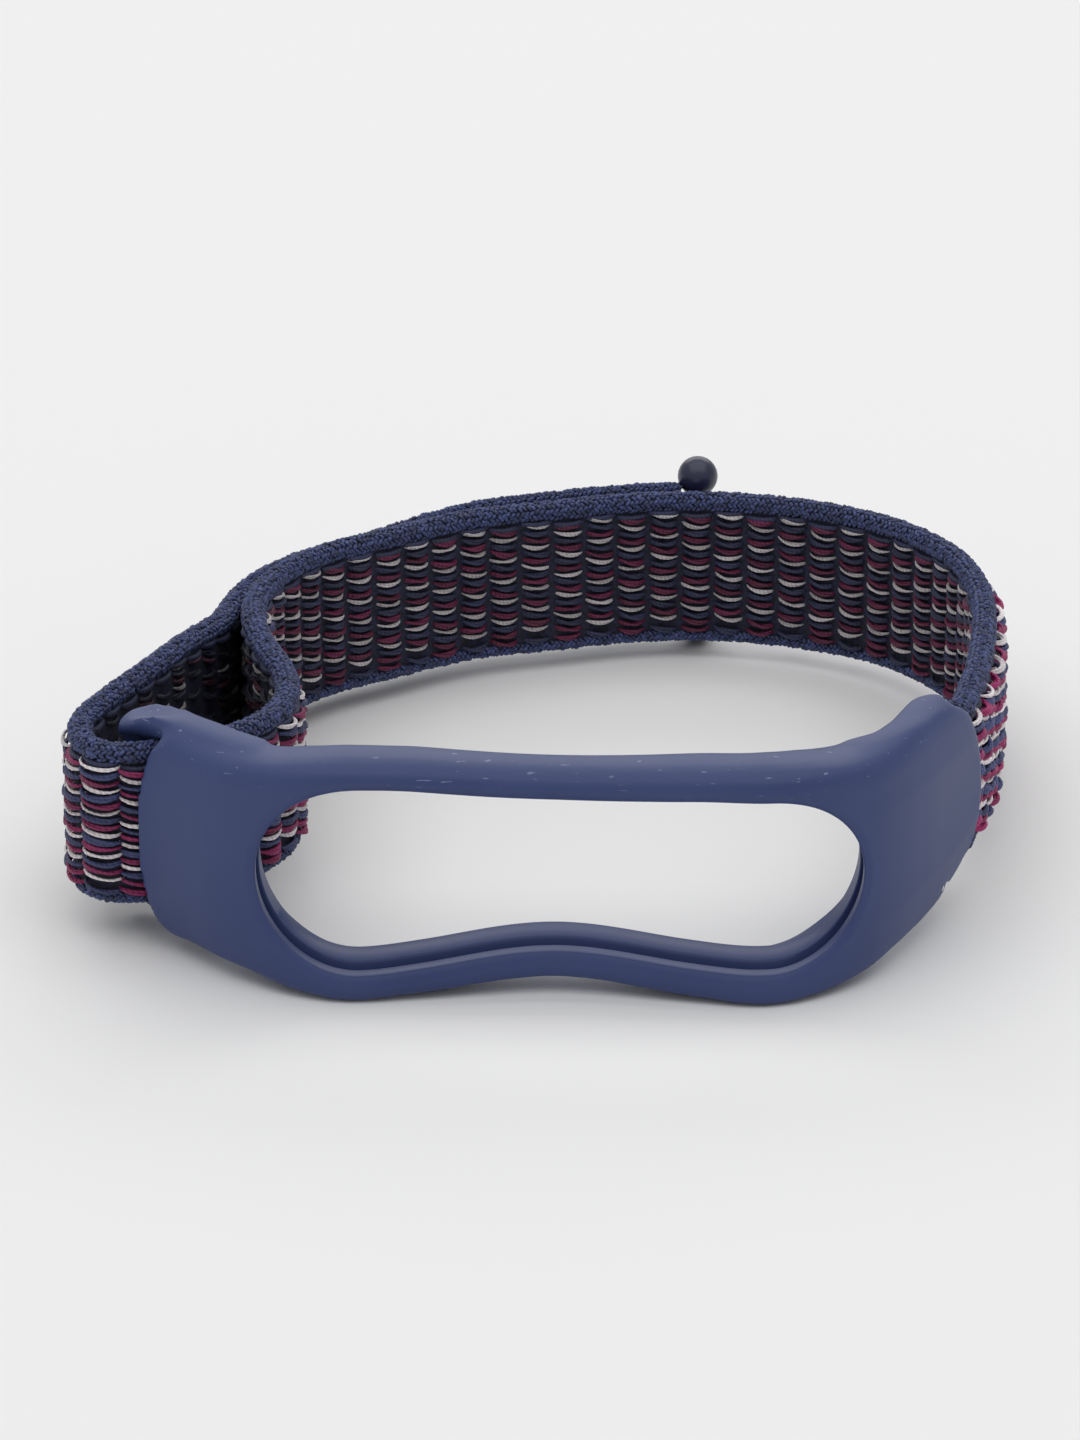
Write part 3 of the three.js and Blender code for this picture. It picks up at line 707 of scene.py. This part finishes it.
LEFT_OVER = [
    [9.6, -10.4, 0], [6.7, -8.6, 0], [4.4, -6.6, 0], [2.4, -4.8, 0], [0.8, -3.4, 0.1, -0.2],
    [-0.7, -2.3, 0.8, -0.2], [-1.7, -0.8, 1.9, 1.2], [-1.7, 0.8, 2.3, 2.2], [-0.5, 1.6, 1.6, 1.6],
    [1.3, 1.1, 0.6, 0], [3, -0.6, 0], [5, -3, 0], [8.2, -5.8, 0], [10.6, -8, 0],
]
LEFT_UNDER = [
    [6.5, -8.2], [3.4, -6], [1.8, -4.2], [0.6, -2.2], [-0.5, -0.2], [-0.4, 0.8],
    [0.4, 1.2], [1.6, 0.7], [2.8, -0.8], [4.8, -3], [8, -5.8],
]
RIGHT_OVER = [
    [-6.4, -9.2], [-4.6, -9.2], [-2.4, -7.2], [-0.4, -3.9], [1.1, -0.9], [1.9, 0.7], [2.2, 1.7],
    [1.2, 2.1], [-0.7, 1], [-1.6, -1], [-2.6, -3.4], [-4, -5.6], [-6.6, -7.6],
]
RIGHT_UNDER = [
    [-5.6, -7.6], [-1.6, -7.6], [0, -4.8], [1, -1.8], [1.5, 0.4], [1.4, 1.6],
    [0.4, 1.8], [-0.7, 1], [-1.6, -1], [-2.6, -3.4], [-4, -5.6],
]
SLOT_FRONT = -SLOT_BAR_RADIUS - SLOT_GAP
SLOT_OUTLINE = [
    [-9, SLOT_FRONT], [1, SLOT_FRONT], [2.6, SLOT_FRONT + 0.4], [6, SLOT_FRONT + 2.4], [11, -1],
    [11, 4], [4, 3], [1.6, 0.3 - SLOT_BAR_RADIUS], [0, -SLOT_BAR_RADIUS], [-9, -SLOT_BAR_RADIUS],
]


def tracker_frame():
    """One moulding: the shell, its opening, the slot loop at the left and the hood at the right."""
    shell = frame_shell()
    face_outwards(shell)
    cut(shell, plate("slot", SLOT_OUTLINE, SLOT_BAR, ear_low, ear_high, 0.3))
    room = HALF_THICK + WRAP_GAP
    above = STRAP_WIDTH + STRAP_ROOM
    cut(shell, ribbon("fold_room", 0, 30, -room, room, -STRAP_ROOM, above, tpu))
    crest_left = EAR_LEFT + EAR_HEIGHT / 2 + LEFT_RISE
    crest_right = EAR_RIGHT + EAR_HEIGHT / 2
    parts = [
        plate("left_over", LEFT_OVER, SLOT_BAR, ear_high, crest_left, 0.8),
        plate("left_under", LEFT_UNDER, SLOT_BAR, ear_low - LOWER_BRIDGE, ear_low, 0.2),
        plate("right_over", RIGHT_OVER, FIXED_BAR, ear_high, crest_right, 0.8),
        plate("right_under", RIGHT_UNDER, FIXED_BAR, ear_low - LOWER_BRIDGE, ear_low, 0.2),
        upright_bar("slot_bar", SLOT_BAR, SLOT_BAR_RADIUS),
        upright_bar("fixed_bar", FIXED_BAR, FIXED_BAR_RADIUS),
    ]
    pick(*parts, shell)
    bpy.ops.object.join()
    finish_with(shell, "REMESH", mode="VOXEL", voxel_size=SHELL_GRAIN * MM)
    finish_with(shell, "SMOOTH", factor=0.5, iterations=6)
    # The plates of the two ears flow into the shell: their tops are smoothed further.
    ears = shell.vertex_groups.new(name="ears")
    for corner in shell.data.vertices:
        x, y, z = np.array(corner.co) / MM - row_shift
        share = float(smoothstep(abs(x), 21, 25) * smoothstep(z, ear_high - 0.6, ear_high + 0.6))
        share += float(smoothstep(x, 30, 31.5) * (1 - smoothstep(z, 4, 6)))
        if share > 0:
            ears.add([corner.index], share, "REPLACE")
    finish_with(shell, "SMOOTH", factor=0.5, iterations=36, vertex_group="ears")
    cut(shell, opening_cutter())
    pick(shell)
    bpy.ops.object.shade_smooth_by_angle(angle=math.radians(38))
    shell.name = "moulded_tracker_frame"
    return shell


# ---------------------------------------------------------------- woven strap

PATCH_LENGTH = 15.0
PATCH_INSET = 1.4  # from either edge of the strap to the hook patch
HOOD_SIDE = 70.0  # length along the strap up to which its outer face is brushed loose
FIRST_FLOAT = 1.75  # from the strap's upper edge to its first float
LAST_FLOAT = 1.7  # least height of a float over the lower edge
FOOT_FLOAT = 1.35  # height of the float that fills the gap at the foot of a column
STITCH_PITCH = 0.42
STITCH_ROWS = 10


def columns_between(low, high):
    """Middles of the woven columns on a stretch, and the running number of each."""
    first = math.ceil(low / COLUMN_PITCH - 0.5)
    last = math.ceil(high / COLUMN_PITCH - 0.5)
    number = np.arange(first, last)
    return (number + 0.5) * COLUMN_PITCH, number


def bend_at(s):
    """How sharply the strap turns there, above 0 where its outer face is stretched."""
    turn = line.out(s + 1.2) - line.out(s - 1.2)
    way = line.at(s + 1.2) - line.at(s - 1.2)
    way /= np.linalg.norm(way, axis=-1, keepdims=True)
    return np.sum(turn * way, axis=-1) / 2.4


def face_room(s, face):
    """How far the floats may stand out, from 0 between pressed layers to 1 where they are free; it
    also sets the painted shade that darkens the floats where they are pressed or under the tail.
    """
    free = smoothstep(s, pressed_end - 2, pressed_end + 4)
    if face > 0:
        under_tail = smoothstep(s, stopper_place - 2, stopper_place + 2)
        under_tail = under_tail * (1 - smoothstep(s, s_bend_top - 4, s_bend_top + 4))
        on_strap = smoothstep(s, line.length - 56, line.length - 48)
        free = free * (1 - under_tail) * (1 - on_strap)
    return free


# How the floats lie on each part of the strap: thickness against the usual, reach as a share of the
# column, least and greatest sag, rise to the far end, its spread, slack, painted light and shade
# (lighter on the lit outer face, darker on the shaded wrist side and deepest in the pocket) and how
# many are there at all.
LAY = {
    "wrist": (0.8, 0.47, 0.12, 0.26, 0.2, 0.24, 0.03, 0.68, 1),
    "outer": (1.15, 0.52, 0.1, 0.45, -0.15, 0.5, 0.32, 1.15, 1),
    "belly": (0.95, 0.52, 0.15, 0.4, 0.1, 0.4, 0.14, 0.95, 1),
    "fold": (0.78, 0.58, 0.2, 0.42, 0.12, 0.26, 0.14, 0.95, 1),
    "pocket": (0.8, 0.44, 0.05, 0.25, 0.3, 0.5, 0.02, 0.4, 0.4),
    "back": (1, 0.48, 0.15, 0.3, 0.1, 0.14, 0.06, 1, 1),
}


def lay_of(place, face):
    if face < 0:
        zone = "wrist" if place < s_bend_top + 6 else "belly" if place < fold_start else "fold"
        return LAY[zone]
    if place > s_bend_top:
        return LAY["pocket"]
    return LAY["outer" if place < HOOD_SIDE else "back"]


def floats(
    name, low, high, shift, thickness, material, stop=None, depth=2, foot=None, sparse=False
):
    """All floats of one colour on a stretch: each is two plies that span a column, sag in the
    middle and dive into the ground at both ends. A foot float fills the last gap of every other
    column."""
    t = np.linspace(-1, 1, 9)
    middles, radii, shade = [], [], []
    for face in (-1, 1):
        s, number = columns_between(low, high if face < 0 or stop is None else stop)
        for place, column in zip(s, number):
            thick, reach, sag_low, sag_high, rise, spread, slack, painted_light_and_tone, share = lay_of(place, face)
            start = STRAP_WIDTH - FIRST_FLOAT - shift * ROW_PITCH - (column % 2) * ROW_PITCH / 2
            if start + ROW_PITCH < STRAP_WIDTH - 1.6:
                start += ROW_PITCH
            heights = np.arange(start, LAST_FLOAT, -ROW_PITCH)
            if column % 2 == foot:
                heights = np.append(heights[heights > 2.1], FOOT_FLOAT)
            free = float(face_room(place, face))
            bend = float(bend_at(np.array([place]))[0]) * face
            slack += (0.4 if place > s_bend_top and face > 0 else 0.9) * max(0.0, -bend)
            pressed = float(thickness_share(place))
            for height in heights:
                covered = face > 0 and place < pressed_end + 5 and height < 2.8
                if (sparse and chance.random() > share) or covered:
                    continue
                loose = slack * chance.uniform(0.6, 1.5)
                bulge = COLUMN_PITCH * math.sqrt(3 * loose / 8) * (0.2 + 0.8 * free)
                sag = chance.uniform(sag_low, sag_high) * (0.6 + 0.4 * free)
                tilt = (rise + chance.uniform(-spread, spread)) / 2
                half = COLUMN_PITCH * (reach + chance.uniform(-0.02, 0.02))
                along = place + half * t + chance.uniform(-0.07, 0.07)
                fall = 4 if face < 0 and place > fold_start else 2.6
                outwards = CORE_HALF - 0.2 + (bulge + 0.2) * (1 - np.abs(t) ** fall)
                up = height + sag * (t * t - 0.45) - face * tilt * t
                width = thickness * thick * pressed * chance.uniform(0.88, 1.12)
                width = width * (1 - 0.55 * np.abs(t) ** 3)
                # Painted light and shade: the float is darkened where it lies pressed between layers
                # or under the tail, and lightened or darkened by its zone's painted light, squared
                # for the coloured yarns.
                light = chance.uniform(0.75, 1.15) * (0.45 + 0.55 * free) * painted_light_and_tone**depth
                turn = chance.uniform(0, math.pi) + 1.6 * t
                for side in (-1, 1):
                    rise_up = up + side * 0.5 * width * np.sin(turn)
                    stand_off = outwards + side * 0.4 * width * np.cos(turn)
                    middles.append(np.stack([along, face * stand_off, rise_up], -1))
                    radii.append(0.7 * width)
                    shade.append(light * chance.uniform(0.9, 1.1))
    return yarns(name, material, middles, radii, np.array(shade), sides=5)


def selvage(name, low, high, top):
    """Knitted edge: rows of small slanted stitches laid round a rounded core."""
    t = np.linspace(-1, 1, 4)
    middle_height = STRAP_WIDTH - SELVAGE_MIDDLE if top else LOWER_MIDDLE
    thick = 0.68 if top else 0.5
    middles, radii, shade = [], [], []
    for row in range(STITCH_ROWS):
        angle = math.radians(-28 + 236 * row / (STITCH_ROWS - 1))
        slant = 0.26 * (1 if row % 2 else -1)
        first = low + 0.25 * STITCH_PITCH * (row % 2 * 2 + 1) - 0.1
        for place in np.arange(first, high + 0.05, STITCH_PITCH):
            reach = chance.uniform(0.16, 0.23)
            turn = angle + slant * t + chance.uniform(-0.12, 0.12)
            swell = 0.07 * (1 - t * t) + chance.uniform(-0.07, 0.07)
            outwards = (0.8 + swell) * np.cos(turn)
            up = (thick + swell) * np.sin(turn) * (1 if top else -1)
            along = place + reach * t + chance.uniform(-0.06, 0.06)
            middles.append(np.stack([along, outwards, middle_height + up], -1))
            radii.append(chance.uniform(0.14, 0.19) * np.sqrt(1 - 0.7 * t * t))
            shade.append(chance.uniform(0.5, 1.4))
    return yarns(name, edge_yarn, middles, radii, np.array(shade), sides=5)


def selvage_core(name, low, high, top):
    """Dark core under the stitches of an edge."""
    s = np.linspace(low, high, max(3, round((high - low) / 0.7)))[:, None]
    angle = np.arange(12) * 2 * math.pi / 12
    middle_height = STRAP_WIDTH - SELVAGE_MIDDLE if top else LOWER_MIDDLE
    thick = 0.62 if top else 0.45
    points = strap_point(s, 0.74 * np.cos(angle), middle_height + thick * np.sin(angle))
    return mesh_of(name, points.reshape(-1, 3), loft_faces(len(s), 12), ground)


def edge_floats(name, low, high):
    """Navy floats in the gap under the upper edge, one over each column, on both faces, darkened with
    painted shade.
    """
    t = np.linspace(-1, 1, 9)
    middles, radii, shade = [], [], []
    s, number = columns_between(low, high)
    for place, column in zip(s, number):
        for face in (-1, 1):
            outwards = CORE_HALF - 0.1 + 0.3 * (1 - np.abs(t) ** 2.2)
            up = STRAP_WIDTH - 1.55 - 0.28 * (column % 2) + 0.2 * (t * t - 0.45)
            middles.append(np.stack([place + 1.4 * t, face * outwards, up], -1))
            radii.append(0.27 * (1 - 0.4 * np.abs(t) ** 4))
            # Painted shade: these floats are darkened to 0.35 to 0.6, as in the shade of the gap
            # under the edge.
            shade.append(chance.uniform(0.35, 0.6))
    return yarns(name, navy_yarn, middles, radii, np.array(shade))


def woven_stretch(name, low, high, webs, tops, bottoms, last=False):
    """A stretch of the strap as a list of finished pieces; the given nodes are hidden."""
    stop = high - PATCH_LENGTH if last else None
    top = STRAP_WIDTH - WEB_INSET
    core = ribbon(name + "_ground", low, high, -CORE_HALF, CORE_HALF, WEB_INSET, top, ground)
    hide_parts(*webs)
    upper = selvage(name + "_selvage_top", low, high, True)
    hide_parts(*tops)
    lower = selvage(name + "_selvage_bottom", low, high, False)
    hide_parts(*bottoms)
    ends = low, high
    woven = [
        core,
        floats(name + "_white_floats", *ends, 0.0, 0.2, white_yarn, stop, 1, sparse=True),
        floats(name + "_navy_floats", *ends, 0.34, 0.29, navy_yarn, stop, foot=0),
        floats(name + "_magenta_floats", *ends, 0.68, 0.28, magenta_yarn, stop, foot=1, sparse=True),
        edge_floats(name + "_edge_floats", low, high),
    ]
    edges = [
        upper,
        lower,
        selvage_core(name + "_selvage_top_core", low, high, True),
        selvage_core(name + "_selvage_bottom_core", low, high, False),
    ]
    return woven + edges


def row_place(s, offset=0.0, height=0.0):
    """A place on the strap in the row frame, in metres."""
    return tuple((strap_point(s, offset, height) + row_shift) * MM)


def strap():
    """The fixed strap, then four stretches of the tail, each centred on the place of one hinge of the
    tail.
    """
    half = tail_step / 2
    nodes = ("strap_web",), ("strap_edge_top",), ("strap_edge_bottom",)
    for piece in woven_stretch("strap", 0, tail_start - half, *nodes):
        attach(piece, "band")
    for i in range(TAIL_COUNT):
        middle = tail_start + i * tail_step
        last = i == TAIL_COUNT - 1
        high = tail_end if last else middle + half
        nodes = [(f"tail_{i + 1}_{part}",) for part in ("web", "edge_top", "edge_bottom")]
        for piece in woven_stretch(f"tail_{i + 1}", middle - half, high, *nodes, last):
            row_place(middle - 5)
            row_place(middle + 5)
            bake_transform(piece)


def hook_patch():
    """Hook tape on the tail's inner face, with rows of tiny hooks."""
    low = tail_end - PATCH_LENGTH
    face = HALF_THICK - 0.25
    top = STRAP_WIDTH - PATCH_INSET
    base = ribbon("hook_patch_tape", low, tail_end, 0.2, face, PATCH_INSET, top, hook_tape)
    t = np.linspace(0, 1, 5)
    middles, radii, shade = [], [], []
    for i, s in enumerate(np.arange(low + 0.5, tail_end - 0.3, 0.75)):
        for height in np.arange(1.9 + 0.35 * (i % 2), STRAP_WIDTH - 1.7, 0.7):
            turn = t * math.radians(200)
            along = s + 0.16 * (1 - np.cos(turn)) * (1 if i % 2 else -1)
            outwards = face + 0.12 * t + 0.16 * np.sin(turn)
            middles.append(np.stack([along, outwards, height + 0 * t], -1))
            radii.append(0.07 * (1 - 0.3 * t))
            shade.append(1.0)
    hooks = yarns("hook_patch_hooks", hook_tape, middles, radii, np.array(shade), sides=5)
    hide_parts("hook_patch")
    for piece in (base, hooks):
        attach(piece, "tail_4")


def fold_stitching():
    """Two rows of thread that hold the folded end."""
    t = np.linspace(-1, 1, 7)
    for row, s in enumerate((0.9, 2.4)):
        heights = np.arange(2.2, STRAP_WIDTH - 1.6, 1.3)
        middles = [
            np.stack([s + 0 * t, HALF_THICK + 0.12 + 0.2 * (1 - t * t), h + 0.55 * t], -1)
            for h in heights
        ]
        radii = [0.2 * (1 - 0.3 * t**4)] * len(heights)
        piece = yarns(f"fold_thread_{row + 1}", sewing_thread, middles, radii, np.ones(len(heights)))
        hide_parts(f"fold_stitching_{row + 1}")
        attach(piece, "band")


def stopper():
    """Bar with a ball at each end, moulded across the strap's free end."""
    low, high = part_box("stopper_bar")
    middle = (low + high) / 2
    ball = 1.72 * MM
    parts = []
    bpy.ops.object.select_all(action="DESELECT")
    for end in (low.z + ball, high.z - ball):
        bpy.ops.mesh.primitive_uv_sphere_add(
            segments=40, ring_count=20, radius=ball, location=(middle.x, middle.y, end))
        parts.append(bpy.context.active_object)
    bpy.ops.mesh.primitive_cylinder_add(
        vertices=40, radius=1.1 * MM, depth=high.z - low.z - 2 * ball, location=middle)
    bar = bpy.context.active_object
    pick(*parts, bar)
    bpy.ops.object.join()
    bpy.ops.object.transform_apply(location=True, rotation=True, scale=True)
    finish_with(bar, "REMESH", mode="VOXEL", voxel_size=0.14 * MM)
    finish_with(bar, "SMOOTH", factor=0.5, iterations=5)
    bpy.ops.object.shade_smooth()
    bar.name = "moulded_stopper"
    bar.data.materials.clear()
    bar.data.materials.append(acetal)
    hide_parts("stopper_bar")
    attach(bar, "tail_4")


# ---------------------------------------------------------------- floor, light and camera


def floor():
    material, tree, shader = new_material("pale_floor", Roughness=0.9)
    shader.inputs["Base Color"].default_value = (0.86, 0.86, 0.86, 1)
    bpy.ops.object.select_all(action="DESELECT")
    bpy.ops.mesh.primitive_plane_add(size=6, location=(0, 0, 0))
    plane = bpy.context.active_object
    plane.name = "floor"
    plane.data.materials.append(material)


def soft_box(name, place, aim, size, power):
    bpy.ops.object.light_add(type="AREA", location=place)
    light = bpy.context.active_object
    light.name = name
    light.data.shape = "RECTANGLE"
    light.data.size, light.data.size_y = size
    light.data.energy = power
    light.rotation_euler = (Vector(aim) - Vector(place)).to_track_quat("-Z", "Y").to_euler()


def lighting():
    world = bpy.data.worlds.new("studio")
    bpy.context.scene.world = world
    world.use_nodes = True
    world.node_tree.nodes["Background"].inputs["Color"].default_value = (1, 1, 1, 1)
    world.node_tree.nodes["Background"].inputs["Strength"].default_value = 0.5
    soft_box("overhead", (0, -0.1, 0.9), (0, 0, 0), (1.6, 1.2), 5.6)
    soft_box("back", (0, 1.3, 0.75), (0, 0, 0), (1.8, 0.8), 6.5)
    bpy.context.scene.view_settings.view_transform = "Standard"


def camera():
    """Long lens from the front, over half a metre away and a little above."""
    place = (np.array([0, -505.45, 250.84]) + row_shift) * MM
    bpy.ops.object.camera_add(location=place)
    eye = bpy.context.active_object
    eye.data.sensor_width = 36
    eye.data.lens = 182
    eye.data.clip_start = 0.01
    tilt = math.radians(25.5)
    ahead = Vector((0, math.cos(tilt), -math.sin(tilt)))
    above = Vector((0, math.sin(tilt), math.cos(tilt)))
    way = ahead - 0.0022 * Vector((1, 0, 0)) + 0.02328 * above
    eye.rotation_euler = way.to_track_quat("-Z", "Y").to_euler()
    bpy.context.scene.camera = eye


camera()
body = tracker_frame()
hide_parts("tracker_frame")
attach(body, "band")
strap()
hook_patch()
fold_stitching()
stopper()
floor()
lighting()
